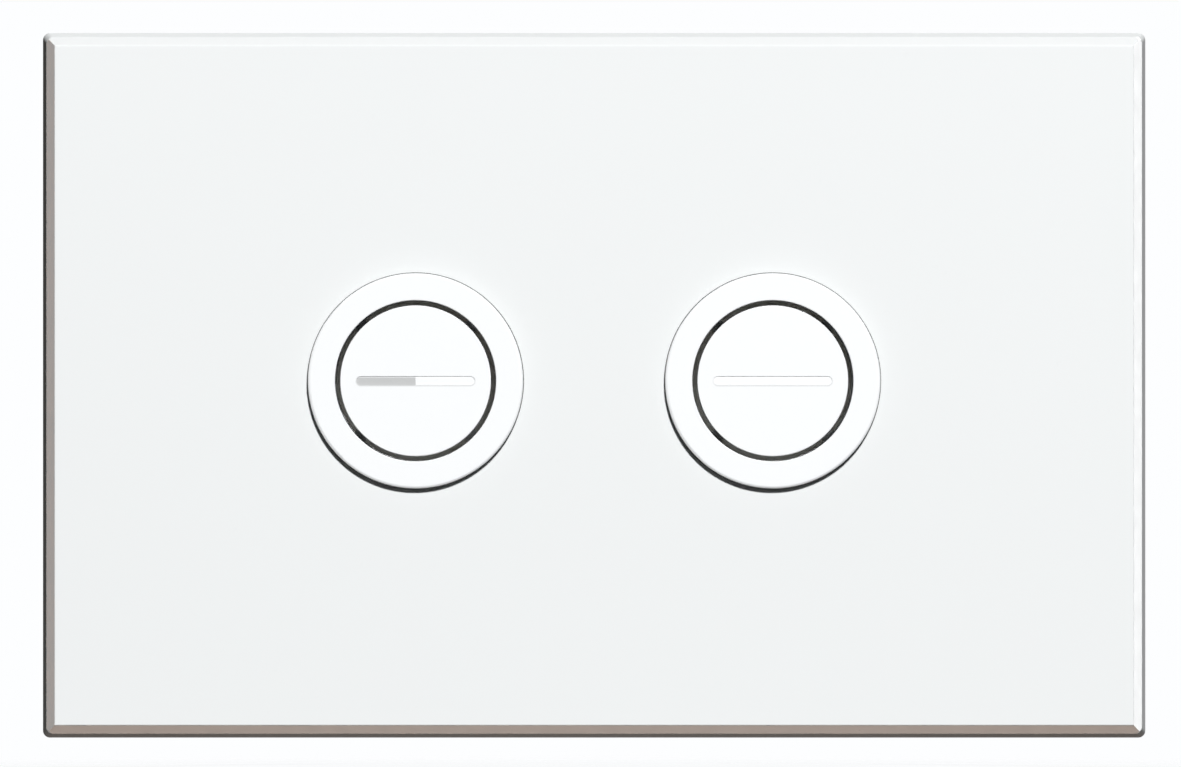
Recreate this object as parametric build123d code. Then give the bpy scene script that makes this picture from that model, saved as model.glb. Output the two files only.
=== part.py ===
from build123d import *
import os
from math import radians, sqrt, tan

# Dual flush plate for a concealed cistern: a bevelled cover plate with two round push buttons.
# Each button slides in a barrel, which a nut clamps to the plate and a trim ring covers. A spring on the
# barrel's rear cap returns the button, and its rod reaches into the cistern. The plate clips on to a frame
# that is screwed to the wall.
#
# The model is drawn lying on its back, in millimetres: X to the right, Y up the wall and Z out of the wall,
# with Z = 0 on the wall and the origin midway between the fixing screws.
# UPRIGHT then stands it on the wall, with its front facing -Y and +Z up.
UPRIGHT = Rot(90, 0, 0)

# Face plate
PLATE_WIDTH = 220.0
PLATE_HEIGHT = 140.6
PLATE_DEPTH = 12.0
PLATE_WEB = 2.6
PLATE_WALL = 2.2
SIDE_DRAFT_DEG = 7.0
CORNER_RADIUS = 1.4
EDGE_BEVEL = 1.8
BEVEL_ANGLE_DEG = 22.0
EDGE_ROUND = 0.25
INNER_RADIUS = 1.0

# Ribs and collars on the back of the plate
RIB_THICKNESS = 1.4
RIB_ROW_SPACING = 78.0
RIB_TO_FRAME = 0.6

# Snap hooks that hold the plate on its frame
HOOK_SPACING = 120.0
HOOK_WIDTH = 12.0
HOOK_THICKNESS = 1.8
HOOK_BARB = 1.2
HOOK_TIP_TO_WALL = 1.0
HOOK_CLEARANCE = 0.5

# Mounting frame
FRAME_TO_PLATE = 1.3
FRAME_SIDE_BAR = 31.0
FRAME_LONG_BAR = 25.0
FRAME_WEB = 2.2
FRAME_LIP = 1.8
FRAME_CORNER = 4.0
FRAME_RIB_SPACING = 44.0
LONG_BAR_RIBS = 3
SIDE_BAR_RIBS = 2
SCREW_PAD_LENGTH = 20.0
SCREW_PAD_WIDTH = 14.0

# Fixing screws, in slots of the frame that let the plate be set level
FIXING_INSET = 19.0
SLOT_CLEARANCE = 0.3
SLOT_ADJUSTMENT = 5.0
SCREW_DIAMETER = 4.0
SCREW_REACH = 34.0
SCREW_NECK_DIAMETER = 4.4
SCREW_HEAD_DIAMETER = 8.0
SCREW_HEAD_HEIGHT = 2.4
SCREW_HEAD_ROUND = 1.2
SCREW_HEAD_TO_PLATE = 0.6
SCREW_TIP_BEVEL = 0.6
DRIVE_LENGTH = 4.6
DRIVE_WIDTH = 1.0
DRIVE_DEPTH = 1.2
WASHER_DIAMETER = 9.0
WASHER_CLEARANCE = 0.2
WASHER_THICKNESS = 0.8

# Buttons
BUTTON_SPACING = 71.0
BUTTON_RISE = 0.9
BUTTON_DIAMETER = 30.0
BUTTON_TRAVEL = 7.0
BUTTON_INSET = 0.3
BUTTON_ROUND = 0.2
BUTTON_CAP = 2.2
SKIRT_LENGTH = 14.0
SKIRT_WALL = 1.6
MARK_LENGTH = 23.6
MARK_WIDTH = 1.85
MARK_DEPTH = 0.2

# Guide ribs on the skirt, which run in keyways of the barrel
GUIDE_COUNT = 4
GUIDE_WIDTH = 2.6
GUIDE_DROP = 8.0
GUIDE_CLEARANCE = 0.15
KEYWAY_DEPTH = 0.8
STOP_CLEARANCE = 0.05
PRESS_CLEARANCE = 0.5

# Barrel, with a flange in front of the plate
BUTTON_GAP = 1.0
BARREL_WALL = 2.2
BARREL_LIP = 0.8
FLANGE_WIDTH = 2.2
FLANGE_THICKNESS = 0.8
HOLE_CLEARANCE = 0.3
KEY_WIDTH = 3.0
KEY_HEIGHT = 1.0

# Trim ring, clipped over the flange
RING_LIP = 1.05
RING_COVER = 0.8
RING_CLEARANCE = 0.05
RING_OUTER_ROUND = 0.6
RING_INNER_ROUND = 0.2
SNAP_BEVEL = 0.4

# Gasket under the flange and the ring
GASKET_THICKNESS = 0.6
GASKET_PROUD = 0.1

# Back nut
NUT_WALL = 3.2
NUT_HEIGHT = 6.0
NUT_FLANGE_WIDTH = 2.0
NUT_FLANGE_THICKNESS = 1.8
NUT_GRIPS = 8
NUT_GRIP_WIDTH = 3.0
NUT_TO_COLLAR = 1.2
THREAD_CLEARANCE = 0.05

# Rear cap
CAP_THICKNESS = 2.0
CAP_CLEARANCE = 0.1
CAP_HUB_PROUD = 4.0
CAP_RIM = 2.4
CAP_SPOKES = 4
CAP_SPOKE_WIDTH = 4.0
LUG_COUNT = 3
LUG_START_DEG = 90.0
LUG_WIDTH = 6.0
LUG_THICKNESS = 1.2

# Return spring
SPRING_DIAMETER = 16.0
SPRING_WIRE = 1.0
SPRING_TURNS = 5
SPRING_END_GAP = 0.15
SPIGOT_HEIGHT = 2.0
SPIGOT_CLEARANCE = 0.3

# Stem of the button, push rod and lock nut
STEM_DIAMETER = 9.2
STEM_CLEARANCE = 0.15
STEM_PAST_HUB = 1.5
ROD_DIAMETER = 6.0
ROD_ENGAGEMENT = 14.0
ROD_REACH = 62.0
ROD_TIP_DIAMETER = 5.2
ROD_TIP_LENGTH = 14.0
ROD_TIP_ROUND = 1.5
ROD_TOP_BEVEL = 0.8
LOCK_NUT_FLATS = 10.0
LOCK_NUT_HEIGHT = 5.0
LOCK_NUT_BEVEL = 0.7

# Heights above the wall of the fixed pieces
web_back = PLATE_DEPTH - PLATE_WEB
frame_depth = web_back - SCREW_HEAD_TO_PLATE - SCREW_HEAD_HEIGHT - WASHER_THICKNESS
frame_web_back = frame_depth - FRAME_WEB
washer_top = frame_depth + WASHER_THICKNESS
ring_back = PLATE_DEPTH + GASKET_THICKNESS
flange_top = ring_back + FLANGE_THICKNESS
ring_top = flange_top + RING_COVER
nut_back = web_back - NUT_HEIGHT

# Heights of the button and of what it slides in, at rest
button_top = ring_top - BUTTON_INSET
cap_underside = button_top - BUTTON_CAP
guide_top = button_top - GUIDE_DROP
skirt_end = button_top - SKIRT_LENGTH
cap_front = skirt_end - BUTTON_TRAVEL - PRESS_CLEARANCE
cap_back = cap_front - CAP_THICKNESS
barrel_end = cap_back - BARREL_LIP
spigot_end = cap_front + SPIGOT_HEIGHT
hub_end = cap_back - CAP_HUB_PROUD
stem_end = hub_end - STEM_PAST_HUB
rod_top = stem_end + ROD_ENGAGEMENT

# Radii of the pieces that fit one in another
button_radius = BUTTON_DIAMETER / 2
bore_radius = button_radius + BUTTON_GAP
keyway_radius = bore_radius + KEYWAY_DEPTH
barrel_radius = bore_radius + BARREL_WALL
key_radius = barrel_radius + KEY_HEIGHT
hole_radius = barrel_radius + HOLE_CLEARANCE
flange_radius = barrel_radius + FLANGE_WIDTH
ring_radius = flange_radius + RING_LIP
nut_body_radius = barrel_radius + NUT_WALL
nut_flange_radius = nut_body_radius + NUT_FLANGE_WIDTH
collar_radius = nut_flange_radius + NUT_TO_COLLAR + RIB_THICKNESS
spigot_radius = (SPRING_DIAMETER - SPRING_WIRE) / 2 - SPIGOT_CLEARANCE
spring_outer_radius = (SPRING_DIAMETER + SPRING_WIRE) / 2
stem_radius = STEM_DIAMETER / 2
rod_radius = ROD_DIAMETER / 2

# Outlines of the plate and of the frame inside it
side_slope = tan(radians(SIDE_DRAFT_DEG))
bevel_slope = tan(radians(BEVEL_ANGLE_DEG))
frame_width = PLATE_WIDTH - 2 * (PLATE_WALL + FRAME_TO_PLATE)
frame_height = PLATE_HEIGHT - 2 * (PLATE_WALL + FRAME_TO_PLATE)
window_width = frame_width - 2 * FRAME_SIDE_BAR
window_height = frame_height - 2 * FRAME_LONG_BAR
hook_y = (frame_height - FRAME_LONG_BAR) / 2
fixing_spacing = PLATE_WIDTH - 2 * FIXING_INSET
slot_width = SCREW_NECK_DIAMETER + 2 * SLOT_CLEARANCE

# Places that repeat
button_places = {
    "half_flush": Pos(-BUTTON_SPACING / 2, BUTTON_RISE),
    "full_flush": Pos(BUTTON_SPACING / 2, BUTTON_RISE),
}
screw_places = GridLocations(fixing_spacing, 0, 2, 1)
hook_places = [
    Pos(x, side * hook_y) * Rot(0, 0, 0 if side > 0 else 180)
    for x in (-HOOK_SPACING / 2, HOOK_SPACING / 2)
    for side in (1, -1)
]


def layer(sketch, bottom, top):
    """Sketch thickened between two heights."""
    return extrude(Pos(0, 0, bottom) * sketch, top - bottom)


def disc(radius, bottom, top):
    """Cylinder on the Z axis between two heights."""
    return layer(Circle(radius), bottom, top)


def block(length, width, bottom, top):
    """Box centred on the Z axis between two heights."""
    return layer(Rectangle(length, width), bottom, top)


def circles(part):
    """Circular edges of a part, from the lowest to the highest."""
    return part.edges().filter_by(GeomType.CIRCLE).sort_by(Axis.Z)


def arms(count, radius, width, start=0.0):
    """Sketch of straight arms from the Z axis, evenly spaced, with their ends on a circle."""
    arm = Pos(radius / 2, 0) * Rectangle(radius, width)
    return (Sketch() + [Rot(0, 0, start + 360 * i / count) * arm for i in range(count)]) & Circle(radius)


def drafted_block(width, height, depth, radius):
    """Block on the wall whose sides lean in by the draft, with rounded corners."""
    prism = extrude(Rectangle(width, height), depth, taper=SIDE_DRAFT_DEG)
    return fillet(prism.edges().filter_by(Plane.XY, reverse=True), radius)


def plate_shell():
    """Cover without its holes and ribs: mitred bevels round the face, drafted sides and a hollow back."""
    sides = drafted_block(PLATE_WIDTH, PLATE_HEIGHT, PLATE_DEPTH, CORNER_RADIUS)
    face_inset = (PLATE_DEPTH - EDGE_BEVEL / bevel_slope) * side_slope + EDGE_BEVEL
    foot_margin = PLATE_DEPTH * bevel_slope - face_inset
    foot = Rectangle(PLATE_WIDTH + 2 * foot_margin, PLATE_HEIGHT + 2 * foot_margin)
    shell = sides & extrude(foot, PLATE_DEPTH, taper=BEVEL_ANGLE_DEG)
    shell = fillet(shell.faces().sort_by(Axis.Z)[-1].edges(), EDGE_ROUND)
    cavity_width = PLATE_WIDTH - 2 * PLATE_WALL
    cavity_height = PLATE_HEIGHT - 2 * PLATE_WALL
    return shell - drafted_block(cavity_width, cavity_height, web_back, INNER_RADIUS)


def plate_ribs():
    """Ribs on the back of the cover: two long rows, and a collar and a cross round each nut."""
    inner_width = PLATE_WIDTH - 2 * (PLATE_WALL + web_back * side_slope)
    inner_height = PLATE_HEIGHT - 2 * (PLATE_WALL + web_back * side_slope)
    outline = Pos(0, BUTTON_RISE) * Rectangle(fixing_spacing - SCREW_PAD_LENGTH, RIB_THICKNESS)
    outline += GridLocations(0, RIB_ROW_SPACING, 1, 2) * Rectangle(inner_width, RIB_THICKNESS)
    outline += GridLocations(BUTTON_SPACING, 0, 2, 1) * Rectangle(RIB_THICKNESS, inner_height)
    outline += [place * Circle(collar_radius) for place in button_places.values()]
    outline -= [place * Circle(collar_radius - RIB_THICKNESS) for place in button_places.values()]
    return layer(outline, frame_depth + RIB_TO_FRAME, web_back)


def snap_hook():
    """One hook of the cover, with its barb towards +Y, about the middle of its arm."""
    half = HOOK_THICKNESS / 2
    outline = Polyline(
        (-half, web_back),
        (half, web_back),
        (half, frame_web_back),
        (half + HOOK_BARB, frame_web_back),
        (half, HOOK_TIP_TO_WALL),
        (-half, HOOK_TIP_TO_WALL),
        close=True,
    )
    return extrude(make_face(Plane.YZ * outline), HOOK_WIDTH / 2, both=True)


def face_plate():
    """Cover plate, one moulding."""
    plate = plate_shell() + plate_ribs()
    plate += [place * snap_hook() for place in hook_places]
    notch_radius = key_radius + HOLE_CLEARANCE
    notch = block(KEY_WIDTH + 2 * HOLE_CLEARANCE, notch_radius, web_back, PLATE_DEPTH)
    hole = disc(hole_radius, web_back, PLATE_DEPTH) + Pos(0, -notch_radius / 2) * notch
    return plate - [place * hole for place in button_places.values()]


def mounting_frame():
    """Frame on the wall: a web on two lips, with ribs, screw pads with slots, and slots for the hooks."""
    outline = RectangleRounded(frame_width, frame_height, FRAME_CORNER)
    window = RectangleRounded(window_width, window_height, FRAME_CORNER)
    channel = RectangleRounded(frame_width - 2 * FRAME_LIP, frame_height - 2 * FRAME_LIP, FRAME_CORNER)
    channel -= RectangleRounded(window_width + 2 * FRAME_LIP, window_height + 2 * FRAME_LIP, FRAME_CORNER)
    channel -= screw_places * RectangleRounded(SCREW_PAD_LENGTH, SCREW_PAD_WIDTH, FRAME_LIP)
    channel -= GridLocations(FRAME_RIB_SPACING, 0, LONG_BAR_RIBS, 1) * Rectangle(RIB_THICKNESS, frame_height)
    channel -= GridLocations(0, FRAME_RIB_SPACING, 1, SIDE_BAR_RIBS) * Rectangle(frame_width, RIB_THICKNESS)
    frame = layer(outline - window, 0, frame_depth) - layer(channel, 0, frame_web_back)
    frame -= screw_places * layer(SlotOverall(slot_width + SLOT_ADJUSTMENT, slot_width), 0, frame_depth)
    hook_length = HOOK_WIDTH + 2 * HOOK_CLEARANCE
    hook_width = HOOK_THICKNESS + HOOK_BARB + 2 * HOOK_CLEARANCE
    hook_slot = Pos(0, HOOK_BARB / 2) * block(hook_length, hook_width, 0, frame_depth)
    return frame - [place * hook_slot for place in hook_places]


def flange(clearance):
    """Flange of the barrel, or the pocket for it in the ring, with the bevel that the ring snaps over."""
    return chamfer(circles(disc(flange_radius + clearance, ring_back, flange_top))[0], SNAP_BEVEL)


def bezel():
    """Trim ring clipped over the barrel's flange."""
    ring = fillet(circles(disc(ring_radius, ring_back, ring_top))[-1], RING_OUTER_ROUND)
    ring -= flange(RING_CLEARANCE) + disc(bore_radius, ring_back, ring_top)
    return fillet(circles(ring).group_by(Axis.Z)[-1].sort_by(SortBy.RADIUS)[0], RING_INNER_ROUND)


def barrel():
    """Flanged tube that the button slides in, with a key, keyways and a seat for the rear cap."""
    tube = flange(0) + disc(barrel_radius, barrel_end, ring_back)
    key = block(KEY_WIDTH, key_radius - bore_radius, web_back, ring_back)
    tube += Pos(0, -(key_radius + bore_radius) / 2) * key
    tube -= disc(bore_radius, barrel_end, flange_top)
    keyways = arms(GUIDE_COUNT, keyway_radius, GUIDE_WIDTH + 2 * GUIDE_CLEARANCE, 180 / GUIDE_COUNT)
    tube -= layer(Circle(bore_radius) + keyways, cap_front, guide_top + STOP_CLEARANCE)
    tube -= disc(keyway_radius, barrel_end, cap_front)
    lug_windows = arms(LUG_COUNT, key_radius, LUG_WIDTH + 2 * CAP_CLEARANCE, LUG_START_DEG)
    return tube - layer(lug_windows, cap_back - CAP_CLEARANCE, cap_back + LUG_THICKNESS + CAP_CLEARANCE)


def gasket():
    """Rubber washer between the flange and the plate, a little wider than the ring."""
    washer_ring = Circle(ring_radius + GASKET_PROUD) - Circle(key_radius + HOLE_CLEARANCE)
    return layer(washer_ring, PLATE_DEPTH, ring_back)


def back_nut():
    """Flanged ring nut with grips, screwed up to the back of the plate."""
    flange_back = web_back - NUT_FLANGE_THICKNESS
    nut = disc(nut_flange_radius, flange_back, web_back) + disc(nut_body_radius, nut_back, flange_back)
    nut += layer(arms(NUT_GRIPS, nut_flange_radius, NUT_GRIP_WIDTH), nut_back, flange_back)
    return nut - disc(barrel_radius + THREAD_CLEARANCE, nut_back, web_back)


def rear_cap():
    """Spoked cap in the end of the barrel, with a spring spigot, a guide hub and snap lugs."""
    cap_radius = keyway_radius - CAP_CLEARANCE
    openings = Circle(cap_radius - CAP_RIM) - Circle(spring_outer_radius + SPRING_WIRE)
    openings -= arms(CAP_SPOKES, cap_radius, CAP_SPOKE_WIDTH, 180 / CAP_SPOKES)
    cap = layer(Circle(cap_radius) - openings, cap_back, cap_front)
    lugs = arms(LUG_COUNT, barrel_radius - CAP_CLEARANCE, LUG_WIDTH, LUG_START_DEG)
    cap += layer(lugs - Circle(cap_radius - CAP_RIM / 2), cap_back, cap_back + LUG_THICKNESS)
    cap += disc(spigot_radius, hub_end, spigot_end)
    return cap - disc(stem_radius + STEM_CLEARANCE, hub_end, spigot_end)


def spring():
    """Compression spring between the cap and the button, with closed ends ground flat."""
    radius = SPRING_DIAMETER / 2
    end_pitch = SPRING_WIRE + SPRING_END_GAP
    open_bottom = cap_front + end_pitch
    open_top = cap_underside - end_pitch
    runs = [
        (cap_front, open_bottom, end_pitch),
        (open_bottom, open_top, (open_top - open_bottom) / SPRING_TURNS),
        (open_top, cap_underside, end_pitch),
    ]
    coil = Part()
    for bottom, top, pitch in runs:
        path = Pos(0, 0, bottom) * Helix(pitch, top - bottom, radius)
        section = Pos(radius, 0, bottom) * Rot(-90, 0, 0) * Circle(SPRING_WIRE / 2)
        coil += sweep(section, path=path, is_frenet=True)
    return coil & disc(spring_outer_radius + SPRING_WIRE, cap_front, cap_underside)


def button():
    """Push cap, one moulding, with a skirt, guide ribs, a spring spigot, a stem and the sunk mark."""
    part = fillet(circles(disc(button_radius, skirt_end, button_top))[-1], BUTTON_ROUND)
    part -= disc(button_radius - SKIRT_WALL, skirt_end, cap_underside)
    guides = arms(GUIDE_COUNT, keyway_radius - GUIDE_CLEARANCE, GUIDE_WIDTH, 180 / GUIDE_COUNT)
    part += layer(guides - Circle(button_radius - SKIRT_WALL / 2), skirt_end, guide_top)
    part += disc(spigot_radius, cap_underside - SPIGOT_HEIGHT, cap_underside)
    part += disc(stem_radius, stem_end, cap_underside)
    part -= disc(rod_radius + THREAD_CLEARANCE, stem_end, rod_top)
    return part - layer(SlotOverall(MARK_LENGTH, MARK_WIDTH), button_top - MARK_DEPTH, button_top)


def push_rod():
    """Rod in the button's stem, with a plain rounded tip that meets the flush valve."""
    tip_top = ROD_TIP_LENGTH - ROD_REACH
    rod = chamfer(circles(disc(rod_radius, tip_top, rod_top))[-1], ROD_TOP_BEVEL)
    return rod + fillet(circles(disc(ROD_TIP_DIAMETER / 2, -ROD_REACH, tip_top))[0], ROD_TIP_ROUND)


def lock_nut():
    """Hexagon nut on the rod, tight against the stem."""
    bottom = stem_end - LOCK_NUT_HEIGHT
    blank = disc(LOCK_NUT_FLATS / sqrt(3), bottom, stem_end)
    hexagon = RegularPolygon(LOCK_NUT_FLATS / 2, 6, major_radius=False)
    nut = chamfer(circles(blank), LOCK_NUT_BEVEL) & layer(hexagon, bottom, stem_end)
    return nut - disc(rod_radius + THREAD_CLEARANCE, bottom, stem_end)


def fixing_screw():
    """Pan-head screw on its washer, with a cross drive, a neck in the slot and its thread in the wall."""
    head_top = washer_top + SCREW_HEAD_HEIGHT
    head = disc(SCREW_HEAD_DIAMETER / 2, washer_top, head_top)
    thread = disc(SCREW_DIAMETER / 2, -SCREW_REACH, 0)
    screw = fillet(circles(head)[-1], SCREW_HEAD_ROUND) + chamfer(circles(thread)[0], SCREW_TIP_BEVEL)
    screw += disc(SCREW_NECK_DIAMETER / 2, 0, washer_top)
    cross = Rectangle(DRIVE_LENGTH, DRIVE_WIDTH) + Rectangle(DRIVE_WIDTH, DRIVE_LENGTH)
    return screw - layer(cross, head_top - DRIVE_DEPTH, head_top)


def washer():
    """Plain washer between a screw head and the frame."""
    inner_radius = SCREW_NECK_DIAMETER / 2 + WASHER_CLEARANCE
    return disc(WASHER_DIAMETER / 2, frame_depth, washer_top) - disc(inner_radius, frame_depth, washer_top)


def save(name, *solids):
    """Writes one node, upright on the wall."""
    upright = [UPRIGHT * solid for solid in solids]
    export_step(upright[0] if len(upright) == 1 else Compound(children=upright), f"parts/{name}.step")


os.makedirs("parts", exist_ok=True)
save("face_plate", face_plate())
save("mounting_frame", mounting_frame())
save("fixing_screws", *[place * fixing_screw() for place in screw_places])
save("screw_washers", *[place * washer() for place in screw_places])
module = {
    "bezel": bezel(),
    "barrel": barrel(),
    "gasket": gasket(),
    "back_nut": back_nut(),
    "rear_cap": rear_cap(),
    "spring": spring(),
    "button": button(),
    "push_rod": push_rod(),
    "lock_nut": lock_nut(),
}
for flush, place in button_places.items():
    for piece, solid in module.items():
        save(f"{flush}_{piece}", place * solid)
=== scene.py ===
import math

import bpy
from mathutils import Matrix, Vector


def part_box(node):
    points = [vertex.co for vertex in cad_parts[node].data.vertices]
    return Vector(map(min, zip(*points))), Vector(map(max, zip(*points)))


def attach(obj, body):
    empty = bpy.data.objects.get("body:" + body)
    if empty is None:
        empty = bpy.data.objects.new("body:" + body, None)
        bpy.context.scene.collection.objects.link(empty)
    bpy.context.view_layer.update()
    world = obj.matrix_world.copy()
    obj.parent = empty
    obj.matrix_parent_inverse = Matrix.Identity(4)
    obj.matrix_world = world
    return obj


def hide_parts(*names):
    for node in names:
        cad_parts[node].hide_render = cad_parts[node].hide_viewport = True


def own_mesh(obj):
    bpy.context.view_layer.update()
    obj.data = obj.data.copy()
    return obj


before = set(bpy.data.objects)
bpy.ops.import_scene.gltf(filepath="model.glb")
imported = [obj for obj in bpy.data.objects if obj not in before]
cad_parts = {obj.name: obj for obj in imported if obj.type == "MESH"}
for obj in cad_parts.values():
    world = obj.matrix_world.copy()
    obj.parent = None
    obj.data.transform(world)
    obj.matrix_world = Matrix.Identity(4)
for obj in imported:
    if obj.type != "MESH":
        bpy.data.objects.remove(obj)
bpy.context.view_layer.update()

# Looks of a dual flush plate: a white bevelled cover, two ringed push buttons and the works behind them.
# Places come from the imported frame, in metres: the front faces -Y, +Z is up, and the wall is the plane Y = 0.
# Sizes below that the frame's boxes do not give are in millimetres, unless a comment says otherwise.
MM = 0.001
WALL = 0.0
FLUSHES = ("half_flush", "full_flush")

# The photograph's frame and where the plate's outline lies in it, in its own pixels
PHOTO_WIDTH = 1181
PHOTO_HEIGHT = 767
OUTLINE_LEFT = 43.0
OUTLINE_RIGHT = 1145.3
OUTLINE_TOP = 33.2
OUTLINE_BOTTOM = 737.5

# Camera: a narrow view from far off, square-on
FIELD_OF_VIEW_DEG = 4.2
SENSOR_WIDTH = 36.0

# Colours of the front, in linear red, green and blue
WHITE_PLATE = (0.896, 0.913, 0.913)
WHITE_BUTTON = (0.972, 0.986, 0.994)
# Grey painted down the trim rings' sides as shade, which darkens their outlines
RING_PAINTED_SHADE_GREY = (0.45, 0.46, 0.46)
MARK_GREY = (0.565, 0.572, 0.572)

# Surface detail: clouds, streaks and grains, so many to the metre, and how far roughness strays
CLOUD_SCALE = 35.0
CLOUD_DETAIL = 3.0
PLASTIC_SWING = 0.05
STREAK_DETAIL = 4.0
STEEL_GRAIN = 4000.0
STEEL_RELIEF = 0.01
STEEL_SWING = 0.08
GRAINS_TO_A_PATCH = 6

# White plastics: how far their tone strays, how deep their grain is, and how many grains to the metre
WHITE_VARIATION = 0.003
WHITE_RELIEF = 0.002
PLATE_GRAIN = 2200.0
BUTTON_GRAIN = 2600.0

# Cover: how far above the wall its sides begin, and the shine of its face and of its sides
SIDE_DEPTH = 7.3
SIDE_BLEND = 0.5
PLATE_ROUGHNESS = 0.3
PLATE_GLOSS = 0.12
SIDE_ROUGHNESS = 0.9
SIDE_GLOSS = 0.0

# Trim rings and buttons: how far behind a ring's front the shade painted on its side begins, and their shine
RING_PAINTED_SHADE_START = 0.28
RING_PAINTED_SHADE_BLEND = 0.05
RING_ROUGHNESS = 0.5
RING_GLOSS = 0.25
BUTTON_ROUGHNESS = 0.34
BUTTON_GLOSS = 0.4

# Bar mark in the face of each button: its size, the strength of its line at the bottom and at the top,
# the depth over which its filled half fades in from the top, and how far behind the face it is printed
MARK_LENGTH = 23.6
MARK_WIDTH = 1.85
MARK_LINE = 0.25
MARK_LINE_STRENGTH = 0.8
MARK_LINE_TOP = 0.0
MARK_FILL_EDGE = 0.35
MARK_REACH = 1.0

# Return springs
SPRING_WIRE = 1.0
SPRING_TURNS = 5
SPRING_END_PITCH = 1.15
SPRING_STEPS = 48
SPRING_SIDES = 12

# Threads: radius they stand on, pitch, height and steps to a turn
BARREL_THREAD = {"radius": 18.2, "pitch": 2.0, "height": 0.55, "steps": 96}
ROD_THREAD = {"radius": 3.0, "pitch": 1.8, "height": 0.45, "steps": 48}
SCREW_THREAD = {"radius": 2.0, "pitch": 2.1, "height": 0.55, "steps": 48}
# How deep they sink into the shank, their root and crest as shares of the pitch, and their sharp edges
THREAD_SINK = 0.1
THREAD_ROOT = 0.8
THREAD_CREST = 0.18
THREAD_EDGE_DEG = 30.0
# The turns over which they run out, and the share of the section that is left at their tips
THREAD_RUN_OUT = 0.6
THREAD_TIP = 0.05
# How far from the rear end of the shank they stop
BARREL_THREAD_END = 3.6
ROD_THREAD_END = 14.0
SCREW_THREAD_END = 1.2

# Floor, in metres: its place, its rim and where it begins to fade out
FLOOR_PLACE = (0.0, 0.3, -0.09)
FLOOR_RADIUS = 0.4
FLOOR_SOLID_RADIUS = 0.28
FLOOR_SIDES = 96
# Its tone, how much of it shines by itself, its finish and the light that it throws back
FLOOR_COLOUR = (0.93, 0.94, 0.95, 1.0)
FLOOR_GLOW = 0.85
FLOOR_ROUGHNESS = 0.9
FLOOR_GLOSS = 0.1
FLOOR_BOUNCE = (0.1, 0.1, 0.1, 1.0)

# World: its faint light on the object, and the white that is seen
WORLD_LIGHT = (0.008, 0.0075, 0.007)
WORLD_WHITE = (0.983, 0.991, 1.0)

# How far the lamps stand from the wall's middle, in metres
LAMP_DISTANCE = 4.0

# Places of the colour sockets on a mix node
MIX_SHARE = 0
MIX_FIRST = 6
MIX_SECOND = 7
MIX_RESULT = 2


def set_or_link(tree, socket, value):
    """Gives an input of a node a value, or the output of another node."""
    if isinstance(value, bpy.types.NodeSocket):
        tree.links.new(value, socket)
    else:
        socket.default_value = value


def make(tree, kind, inputs, **settings):
    """New node in a tree, with its settings, and its inputs set or linked by name or place."""
    node = tree.nodes.new(kind)
    for name, value in settings.items():
        setattr(node, name, value)
    for key, value in inputs.items():
        set_or_link(tree, node.inputs[key], value)
    return node


def calculate(tree, operation, *values):
    """Output of a math node."""
    return make(tree, "ShaderNodeMath", dict(enumerate(values)), operation=operation).outputs[0]


def noise(tree, scale, detail=2.0, stretch=(1.0, 1.0, 1.0)):
    """Smooth noise from 0 to 1 over the object, so many to the metre."""
    place = make(tree, "ShaderNodeTexCoord", {}).outputs["Object"]
    mapped = make(tree, "ShaderNodeMapping", {"Vector": place, "Scale": stretch}).outputs["Vector"]
    inputs = {"Vector": mapped, "Scale": scale, "Detail": detail}
    return make(tree, "ShaderNodeTexNoise", inputs).outputs["Fac"]


def spread(tree, value, low, high):
    """Value from 0 to 1 carried to a range."""
    inputs = {"Value": value, "To Min": low, "To Max": high}
    return make(tree, "ShaderNodeMapRange", inputs).outputs["Result"]


def ramp(tree, value, start, end):
    """0 where a value is at start, and 1 where it is at end, with an even change between them."""
    inputs = {"Value": value, "From Min": start, "From Max": end}
    return make(tree, "ShaderNodeMapRange", inputs).outputs["Result"]


def blend_colours(tree, share, first, second):
    """First colour at share 0, second at share 1."""
    inputs = {MIX_SHARE: share, MIX_FIRST: first, MIX_SECOND: second}
    return make(tree, "ShaderNodeMix", inputs, data_type="RGBA").outputs[MIX_RESULT]


def tint(colour, factor):
    """Colour made lighter or darker, with its alpha."""
    return tuple(min(part * factor, 1.0) for part in colour) + (1.0,)


def new_material(name):
    """Material with its node tree and its main shader."""
    material = bpy.data.materials.new(name)
    material.use_nodes = True
    return material, material.node_tree, material.node_tree.nodes["Principled BSDF"]


def finish_surface(tree, shader, grain, relief, roughness, swing):
    """Fine grain on a surface as a bump, and a roughness that varies a little in coarser patches."""
    height = noise(tree, grain)
    bump = make(tree, "ShaderNodeBump", {"Height": height, "Strength": 1.0, "Distance": relief * MM})
    tree.links.new(bump.outputs["Normal"], shader.inputs["Normal"])
    patches = noise(tree, grain / GRAINS_TO_A_PATCH)
    varied = spread(tree, patches, roughness - swing, roughness + swing)
    tree.links.new(varied, shader.inputs["Roughness"])


def plastic(name, colour, variation, roughness, grain, relief, gloss=0.5):
    """Moulded plastic: faint flow clouds in the colour and a fine mould grain."""
    material, tree, shader = new_material(name)
    clouds = noise(tree, CLOUD_SCALE, CLOUD_DETAIL)
    cloudy = blend_colours(tree, clouds, tint(colour, 1 - variation), tint(colour, 1 + variation))
    tree.links.new(cloudy, shader.inputs["Base Color"])
    shader.inputs["Specular IOR Level"].default_value = gloss
    finish_surface(tree, shader, grain, relief, roughness, PLASTIC_SWING)
    return material


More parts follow.
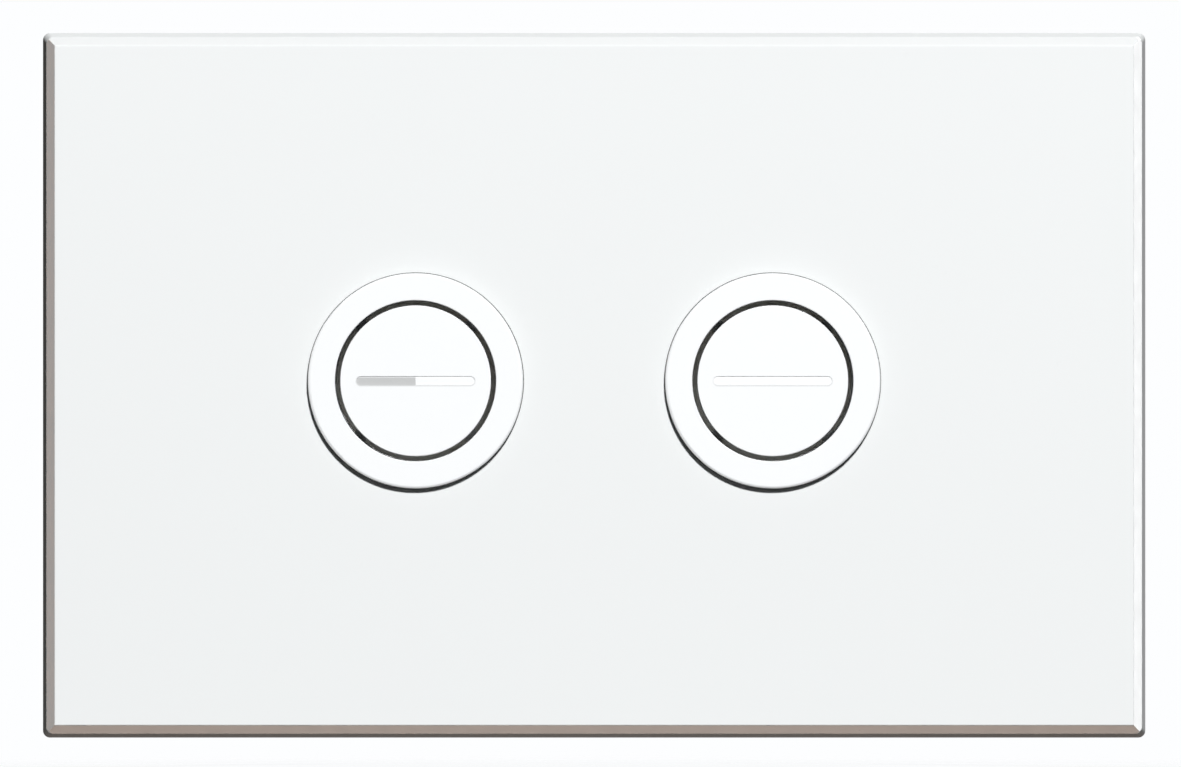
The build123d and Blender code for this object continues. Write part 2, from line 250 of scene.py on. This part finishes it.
def metal(name, colour, variation, roughness, stretch, scale):
    """Bare or plated steel: streaks or clouds of tone, with a fine drawn or rolled grain."""
    material, tree, shader = new_material(name)
    streaks = noise(tree, scale, STREAK_DETAIL, stretch)
    toned = blend_colours(tree, streaks, tint(colour, 1 - variation), tint(colour, 1 + variation))
    tree.links.new(toned, shader.inputs["Base Color"])
    shader.inputs["Metallic"].default_value = 1.0
    finish_surface(tree, shader, STEEL_GRAIN, STEEL_RELIEF, roughness, STEEL_SWING)
    return material


def behind(tree, start, end):
    """0 in front of the plane Y = start, and 1 behind Y = end."""
    place = make(tree, "ShaderNodeTexCoord", {}).outputs["Object"]
    depth = make(tree, "ShaderNodeSeparateXYZ", {0: place}).outputs["Y"]
    return ramp(tree, depth, start, end)


def plate_plastic(name, colour):
    """Satin plastic of the cover, with matt sides below its bevels."""
    material = plastic(name, colour, WHITE_VARIATION, PLATE_ROUGHNESS, PLATE_GRAIN, WHITE_RELIEF, PLATE_GLOSS)
    tree = material.node_tree
    shader = tree.nodes["Principled BSDF"]
    side = behind(tree, -(SIDE_DEPTH + SIDE_BLEND) * MM, -SIDE_DEPTH * MM)
    satin = shader.inputs["Roughness"].links[0].from_socket
    matt = calculate(tree, "MAXIMUM", satin, calculate(tree, "MULTIPLY", side, SIDE_ROUGHNESS))
    tree.links.new(matt, shader.inputs["Roughness"])
    tree.links.new(spread(tree, side, PLATE_GLOSS, SIDE_GLOSS), shader.inputs["Specular IOR Level"])
    return material


def ring_plastic(name, colour, painted_shade_colour):
    """White plastic of the trim rings, with shade painted in grey down their sides."""
    material = plastic(name, colour, WHITE_VARIATION, RING_ROUGHNESS, BUTTON_GRAIN, WHITE_RELIEF, RING_GLOSS)
    tree = material.node_tree
    shader = tree.nodes["Principled BSDF"]
    # Painted shade: the ring's side turns grey from a little behind its front
    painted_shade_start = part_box("half_flush_bezel")[0][1] + RING_PAINTED_SHADE_START * MM
    side = behind(tree, painted_shade_start - RING_PAINTED_SHADE_BLEND * MM, painted_shade_start + RING_PAINTED_SHADE_BLEND * MM)
    plain = shader.inputs["Base Color"].links[0].from_socket
    tree.links.new(blend_colours(tree, side, plain, tint(painted_shade_colour, 1.0)), shader.inputs["Base Color"])
    return material


def bar_mark(tree, node, filled):
    """How strongly each point of a button is printed with its mark, from 0 to 1.

    The mark is the outline of a bar, and its left half too where filled. It fades towards its top edge,
    because the shadow in the groove that it lies in draws that line."""
    low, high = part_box(node)
    centre = (Vector(low) + Vector(high)) / 2
    half_width = MARK_WIDTH / 2 * MM
    straight = (MARK_LENGTH - MARK_WIDTH) / 2 * MM
    place = make(tree, "ShaderNodeTexCoord", {}).outputs["Object"]
    parts = make(tree, "ShaderNodeSeparateXYZ", {0: place}).outputs
    across = calculate(tree, "SUBTRACT", parts["X"], centre.x)
    up = calculate(tree, "SUBTRACT", parts["Z"], centre.z)
    beyond = calculate(tree, "SUBTRACT", calculate(tree, "ABSOLUTE", across), straight)
    past_end = calculate(tree, "MAXIMUM", beyond, 0.0)
    squares = calculate(tree, "ADD", calculate(tree, "POWER", past_end, 2.0),
                        calculate(tree, "POWER", up, 2.0))
    inside = calculate(tree, "SUBTRACT", half_width, calculate(tree, "SQRT", squares))
    from_line = calculate(tree, "ABSOLUTE", inside)
    height = ramp(tree, up, -half_width, half_width)
    strength = spread(tree, height, MARK_LINE_STRENGTH, MARK_LINE_TOP)
    printed = calculate(tree, "MULTIPLY", ramp(tree, from_line, MARK_LINE * MM, 0.0), strength)
    if filled:
        in_bar = calculate(tree, "GREATER_THAN", inside, 0.0)
        half = calculate(tree, "MULTIPLY", in_bar, calculate(tree, "LESS_THAN", across, 0.0))
        fade = ramp(tree, up, half_width, half_width - MARK_FILL_EDGE * MM)
        printed = calculate(tree, "MAXIMUM", printed, calculate(tree, "MULTIPLY", half, fade))
    on_face = calculate(tree, "LESS_THAN", parts["Y"], low[1] + MARK_REACH * MM)
    return calculate(tree, "MULTIPLY", printed, on_face)


def button_plastic(node, colour, mark_colour, filled):
    """White plastic of a button with the mark printed in its groove."""
    material = plastic(f"{node}_white", colour, WHITE_VARIATION, BUTTON_ROUGHNESS, BUTTON_GRAIN, WHITE_RELIEF,
                       BUTTON_GLOSS)
    tree = material.node_tree
    shader = tree.nodes["Principled BSDF"]
    plain = shader.inputs["Base Color"].links[0].from_socket
    marked = blend_colours(tree, bar_mark(tree, node, filled), plain, tint(mark_colour, 1.0))
    tree.links.new(marked, shader.inputs["Base Color"])
    return material


def paint(node, material):
    """Gives a carried-over piece its finish."""
    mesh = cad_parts[node].data
    mesh.materials.clear()
    mesh.materials.append(material)


def new_piece(name, vertices, faces, material, body):
    """New mesh piece that rides on a body of the frame."""
    mesh = bpy.data.meshes.new(name)
    mesh.from_pydata(vertices, [], faces)
    mesh.shade_smooth()
    mesh.materials.append(material)
    piece = bpy.data.objects.new(name, mesh)
    bpy.context.scene.collection.objects.link(piece)
    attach(piece, body)
    return piece


def coil(axis, radius, path, section):
    """Vertices and faces of a closed section carried round an axis along Y.

    Each step of the path is (turn, height, size): how far round, how far along Y, and the section's size."""
    vertices = []
    faces = []
    sides = len(section)
    for turn, height, size in path:
        angle = 2 * math.pi * turn
        for outward, along in section:
            distance = (radius + outward * size) * MM
            x = axis.x + distance * math.cos(angle)
            z = axis.z + distance * math.sin(angle)
            vertices.append((x, height + along * size * MM, z))
    for step in range(len(path) - 1):
        for side in range(sides):
            here = step * sides + side
            after = step * sides + (side + 1) % sides
            faces.append((here, after, after + sides, here + sides))
    faces.append(tuple(range(sides))[::-1])
    faces.append(tuple(range(len(vertices) - sides, len(vertices))))
    return vertices, faces


def spring_path(low, high):
    """Path of a compression spring along Y: one closed turn at each end and open turns between them."""
    closed = SPRING_END_PITCH * MM
    stations = [
        (0.0, high),
        (1.0, high - closed),
        (1.0 + SPRING_TURNS, low + closed),
        (2.0 + SPRING_TURNS, low),
    ]
    path = []
    for (turn_a, y_a), (turn_b, y_b) in zip(stations, stations[1:]):
        steps = round((turn_b - turn_a) * SPRING_STEPS)
        for i in range(steps):
            share = i / steps
            path.append((turn_a + share * (turn_b - turn_a), y_a + share * (y_b - y_a), 1.0))
    path.append((*stations[-1], 1.0))
    return path


def return_spring(flush, material):
    """Finer spring in place of the frame's, with ground ends."""
    node = f"{flush}_spring"
    low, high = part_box(node)
    axis = (Vector(low) + Vector(high)) / 2
    radius = (high[0] - low[0]) / 2 / MM - SPRING_WIRE / 2
    turns = [2 * math.pi * i / SPRING_SIDES for i in range(SPRING_SIDES)]
    section = [(SPRING_WIRE / 2 * math.cos(a), SPRING_WIRE / 2 * math.sin(a)) for a in turns]
    vertices, faces = coil(axis, radius, spring_path(low[1], high[1]), section)
    ground = [(x, min(max(y, low[1]), high[1]), z) for x, y, z in vertices]
    piece = new_piece(f"{flush}_coil_spring", ground, faces, material, "plate")
    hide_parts(node)
    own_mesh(piece)


def thread(name, axis, start, end, form, material, body):
    """Helical ridge round a plain shank along Y, which runs out almost to nothing at both ends."""
    turns = (end - start) / (form["pitch"] * MM)
    steps = round(turns * form["steps"])
    height = form["height"]
    root = form["pitch"] * THREAD_ROOT / 2
    crest = form["pitch"] * THREAD_CREST / 2
    section = [(-THREAD_SINK, root), (height, crest), (height, -crest), (-THREAD_SINK, -root)]
    path = []
    for i in range(steps + 1):
        turn = turns * i / steps
        from_tip = min(turn, turns - turn)
        size = min(1.0, THREAD_TIP + from_tip / THREAD_RUN_OUT)
        path.append((-turn, start + (end - start) * i / steps, size))
    vertices, faces = coil(axis, form["radius"], path, section)
    piece = new_piece(name, vertices, faces, material, body)
    piece.data.set_sharp_from_angle(angle=math.radians(THREAD_EDGE_DEG))


def threads_of_module(flush, barrel_material, rod_material):
    """Threads on a barrel and a push rod, which start a pitch inside the nut on each and go on behind it."""
    low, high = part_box(f"{flush}_barrel")
    axis = (Vector(low) + Vector(high)) / 2
    nut_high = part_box(f"{flush}_back_nut")[1]
    start = nut_high[1] - BARREL_THREAD["pitch"] * MM
    end = high[1] - BARREL_THREAD_END * MM
    thread(f"{flush}_barrel_thread", axis, start, end, BARREL_THREAD, barrel_material,
           "plate")
    rod_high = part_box(f"{flush}_push_rod")[1]
    lock_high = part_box(f"{flush}_lock_nut")[1]
    start = lock_high[1] - ROD_THREAD["pitch"] * MM
    end = rod_high[1] - ROD_THREAD_END * MM
    thread(f"{flush}_rod_thread", axis, start, end, ROD_THREAD, rod_material, flush)


def screw_threads(material):
    """Threads of the two fixing screws, on the stretch that goes into the wall."""
    low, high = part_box("fixing_screws")
    washer_low, washer_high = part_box("screw_washers")
    inset = (washer_high[2] - washer_low[2]) / 2
    middle = (low[2] + high[2]) / 2
    end = high[1] - SCREW_THREAD_END * MM
    for side, x in (("left", washer_low[0] + inset), ("right", washer_high[0] - inset)):
        axis = Vector((x, WALL, middle))
        thread(f"{side}_screw_thread", axis, WALL, end, SCREW_THREAD, material, "plate")


def softbox(name, polar, azimuth, size, level, colour=(1.0, 1.0, 1.0)):
    """Area lamp aimed at the plate, polar degrees off its front, on the side that azimuth gives from +X up.

    Level 1 alone shows a colour that faces the lamp as it is written. The size is in metres."""
    lamp = bpy.data.lights.new(name, "AREA")
    lamp.shape = "RECTANGLE"
    lamp.size, lamp.size_y = size
    lamp.energy = level * (math.pi * LAMP_DISTANCE) ** 2
    lamp.color = colour
    placed = bpy.data.objects.new(name, lamp)
    bpy.context.scene.collection.objects.link(placed)
    off = math.radians(polar)
    turn = math.radians(azimuth)
    towards = Vector((math.sin(off) * math.cos(turn), -math.cos(off), math.sin(off) * math.sin(turn)))
    placed.location = towards * LAMP_DISTANCE
    placed.rotation_euler = towards.to_track_quat("Z", "Y").to_euler()


def seen_rays(tree):
    """1 for what the camera sees, also mirrored or through clear pieces, and 0 for light on the object."""
    rays = make(tree, "ShaderNodeLightPath", {}).outputs
    seen = calculate(tree, "MAXIMUM", rays["Is Camera Ray"], rays["Is Glossy Ray"])
    return calculate(tree, "MAXIMUM", seen, rays["Is Transmission Ray"])


def studio_world(ambient, background):
    """White to the camera and in reflections, and a faint even light on the object."""
    world = bpy.data.worlds.new("studio")
    bpy.context.scene.world = world
    world.use_nodes = True
    tree = world.node_tree
    tree.nodes.clear()
    light = make(tree, "ShaderNodeBackground", {"Color": ambient + (1.0,), "Strength": 1.0})
    white = make(tree, "ShaderNodeBackground", {"Color": background + (1.0,), "Strength": 1.0})
    mixed = make(tree, "ShaderNodeMixShader", {0: seen_rays(tree), 1: light.outputs[0], 2: white.outputs[0]})
    output = make(tree, "ShaderNodeOutputWorld", {})
    tree.links.new(mixed.outputs[0], output.inputs["Surface"])


def pale_floor(place, radius, solid_radius):
    """Round pale floor under the plate, which shows its shadow and fades out towards the rim.

    It throws little light back and blocks none, because one of the lamps stands below it."""
    material, tree, shader = new_material("floor_pale")
    shader.inputs["Base Color"].default_value = FLOOR_COLOUR
    shader.inputs["Roughness"].default_value = FLOOR_ROUGHNESS
    shader.inputs["Specular IOR Level"].default_value = FLOOR_GLOSS
    glow = make(tree, "ShaderNodeEmission", {"Color": FLOOR_COLOUR, "Strength": 1.0})
    seen = make(tree, "ShaderNodeMixShader", {0: FLOOR_GLOW, 1: shader.outputs[0], 2: glow.outputs[0]})
    dim = make(tree, "ShaderNodeBsdfDiffuse", {"Color": FLOOR_BOUNCE})
    surface = make(tree, "ShaderNodeMixShader", {0: seen_rays(tree), 1: dim.outputs[0], 2: seen.outputs[0]})
    spot = make(tree, "ShaderNodeTexCoord", {}).outputs["Object"]
    far = make(tree, "ShaderNodeVectorMath", {0: spot}, operation="LENGTH").outputs["Value"]
    fade = make(tree, "ShaderNodeMapRange", {"Value": far, "From Min": solid_radius, "From Max": radius},
                interpolation_type="SMOOTHSTEP").outputs["Result"]
    clear = make(tree, "ShaderNodeBsdfTransparent", {})
    mixed = make(tree, "ShaderNodeMixShader", {0: fade, 1: surface.outputs[0], 2: clear.outputs[0]})
    tree.links.new(mixed.outputs[0], tree.nodes["Material Output"].inputs["Surface"])
    turns = [2 * math.pi * i / FLOOR_SIDES for i in range(FLOOR_SIDES)]
    rim = [(radius * math.cos(a), radius * math.sin(a), 0.0) for a in turns]
    mesh = bpy.data.meshes.new("floor")
    mesh.from_pydata(rim, [], [range(FLOOR_SIDES)])
    mesh.materials.append(material)
    floor = bpy.data.objects.new("floor", mesh)
    floor.location = place
    floor.visible_shadow = False
    bpy.context.scene.collection.objects.link(floor)


def photo_camera():
    """Camera square-on to the plate, with the plate's outline where the photograph has it."""
    low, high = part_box("face_plate")
    metres_per_pixel = (high[0] - low[0]) / (OUTLINE_RIGHT - OUTLINE_LEFT)
    view_width = PHOTO_WIDTH * metres_per_pixel
    distance = view_width / 2 / math.tan(math.radians(FIELD_OF_VIEW_DEG) / 2)
    across = (OUTLINE_LEFT + OUTLINE_RIGHT - PHOTO_WIDTH) / 2 * metres_per_pixel
    down = (OUTLINE_TOP + OUTLINE_BOTTOM - PHOTO_HEIGHT) / 2 * metres_per_pixel
    lens = bpy.data.cameras.new("camera")
    lens.sensor_fit = "HORIZONTAL"
    lens.sensor_width = SENSOR_WIDTH
    lens.angle = math.radians(FIELD_OF_VIEW_DEG)
    camera = bpy.data.objects.new("camera", lens)
    camera.location = ((low[0] + high[0]) / 2 - across, high[1] - distance, (low[2] + high[2]) / 2 + down)
    camera.rotation_euler = (math.pi / 2, 0.0, 0.0)
    bpy.context.scene.collection.objects.link(camera)
    bpy.context.scene.camera = camera


# Finishes: the white front, then the works behind it
plate_white = plate_plastic("plate_white", WHITE_PLATE)
ring_white = ring_plastic("ring_white", WHITE_BUTTON, RING_PAINTED_SHADE_GREY)
frame_grey = plastic("frame_grey", (0.42, 0.43, 0.44), variation=0.05, roughness=0.5,
                     grain=1500.0, relief=0.006)
nut_grey = plastic("nut_grey", (0.25, 0.255, 0.26), variation=0.05, roughness=0.45,
                   grain=1700.0, relief=0.005)
barrel_black = plastic("barrel_black", (0.085, 0.1, 0.1), variation=0.1, roughness=0.5,
                       grain=1700.0, relief=0.004, gloss=0.3)
cap_natural = plastic("cap_natural", (0.80, 0.79, 0.74), variation=0.03, roughness=0.38,
                      grain=1800.0, relief=0.003)
rod_natural = plastic("rod_natural", (0.86, 0.85, 0.81), variation=0.03, roughness=0.35,
                      grain=1800.0, relief=0.003)
black_rubber = plastic("black_rubber", (0.022, 0.022, 0.023), variation=0.2, roughness=0.7,
                       grain=1200.0, relief=0.012, gloss=0.3)
spring_steel = metal("spring_steel", (0.56, 0.55, 0.53), variation=0.12, roughness=0.3,
                     stretch=(1.0, 8.0, 1.0), scale=300.0)
zinc_steel = metal("zinc_steel", (0.48, 0.5, 0.53), variation=0.12, roughness=0.32,
                   stretch=(1.0, 1.0, 1.0), scale=450.0)

# Pieces
paint("face_plate", plate_white)
paint("mounting_frame", frame_grey)
paint("fixing_screws", zinc_steel)
paint("screw_washers", zinc_steel)
for flush in FLUSHES:
    paint(f"{flush}_bezel", ring_white)
    paint(f"{flush}_barrel", barrel_black)
    paint(f"{flush}_gasket", black_rubber)
    paint(f"{flush}_back_nut", nut_grey)
    paint(f"{flush}_rear_cap", cap_natural)
    paint(f"{flush}_push_rod", rod_natural)
    paint(f"{flush}_lock_nut", nut_grey)
    button = f"{flush}_button"
    paint(button, button_plastic(button, WHITE_BUTTON, MARK_GREY, flush == "half_flush"))
    return_spring(flush, spring_steel)
    threads_of_module(flush, barrel_black, rod_natural)
screw_threads(zinc_steel)

# Stage
pale_floor(FLOOR_PLACE, FLOOR_RADIUS, FLOOR_SOLID_RADIUS)
studio_world(WORLD_LIGHT, WORLD_WHITE)

# Main lamp, above and a little to the right: the rings throw their dark crescents away from it
softbox("key", polar=27.5, azimuth=75, size=(0.36, 0.36), level=1.1, colour=(0.994, 0.998, 1.0))

# Fill for the top edge, for the back and for the dark left side
softbox("top", polar=110, azimuth=90, size=(1.2, 1.2), level=0.21)
softbox("rear", polar=162, azimuth=75, size=(1.2, 1.2), level=0.7)
softbox("left", polar=100, azimuth=180, size=(1.2, 1.2), level=0.028, colour=(0.75, 1.0, 1.0))

# Lamps that the right, left and bottom bevels mirror to the front, which gives each its tone in the photo
softbox("right_edge", polar=136, azimuth=0, size=(0.7, 0.9), level=0.14)
softbox("left_edge", polar=136, azimuth=180, size=(0.7, 0.9), level=0.019, colour=(1.0, 0.4, 0.12))
softbox("bottom_edge", polar=136, azimuth=270, size=(1.1, 0.7), level=0.098, colour=(1.0, 0.74, 0.58))

# View
bpy.context.scene.view_settings.view_transform = "Standard"
photo_camera()
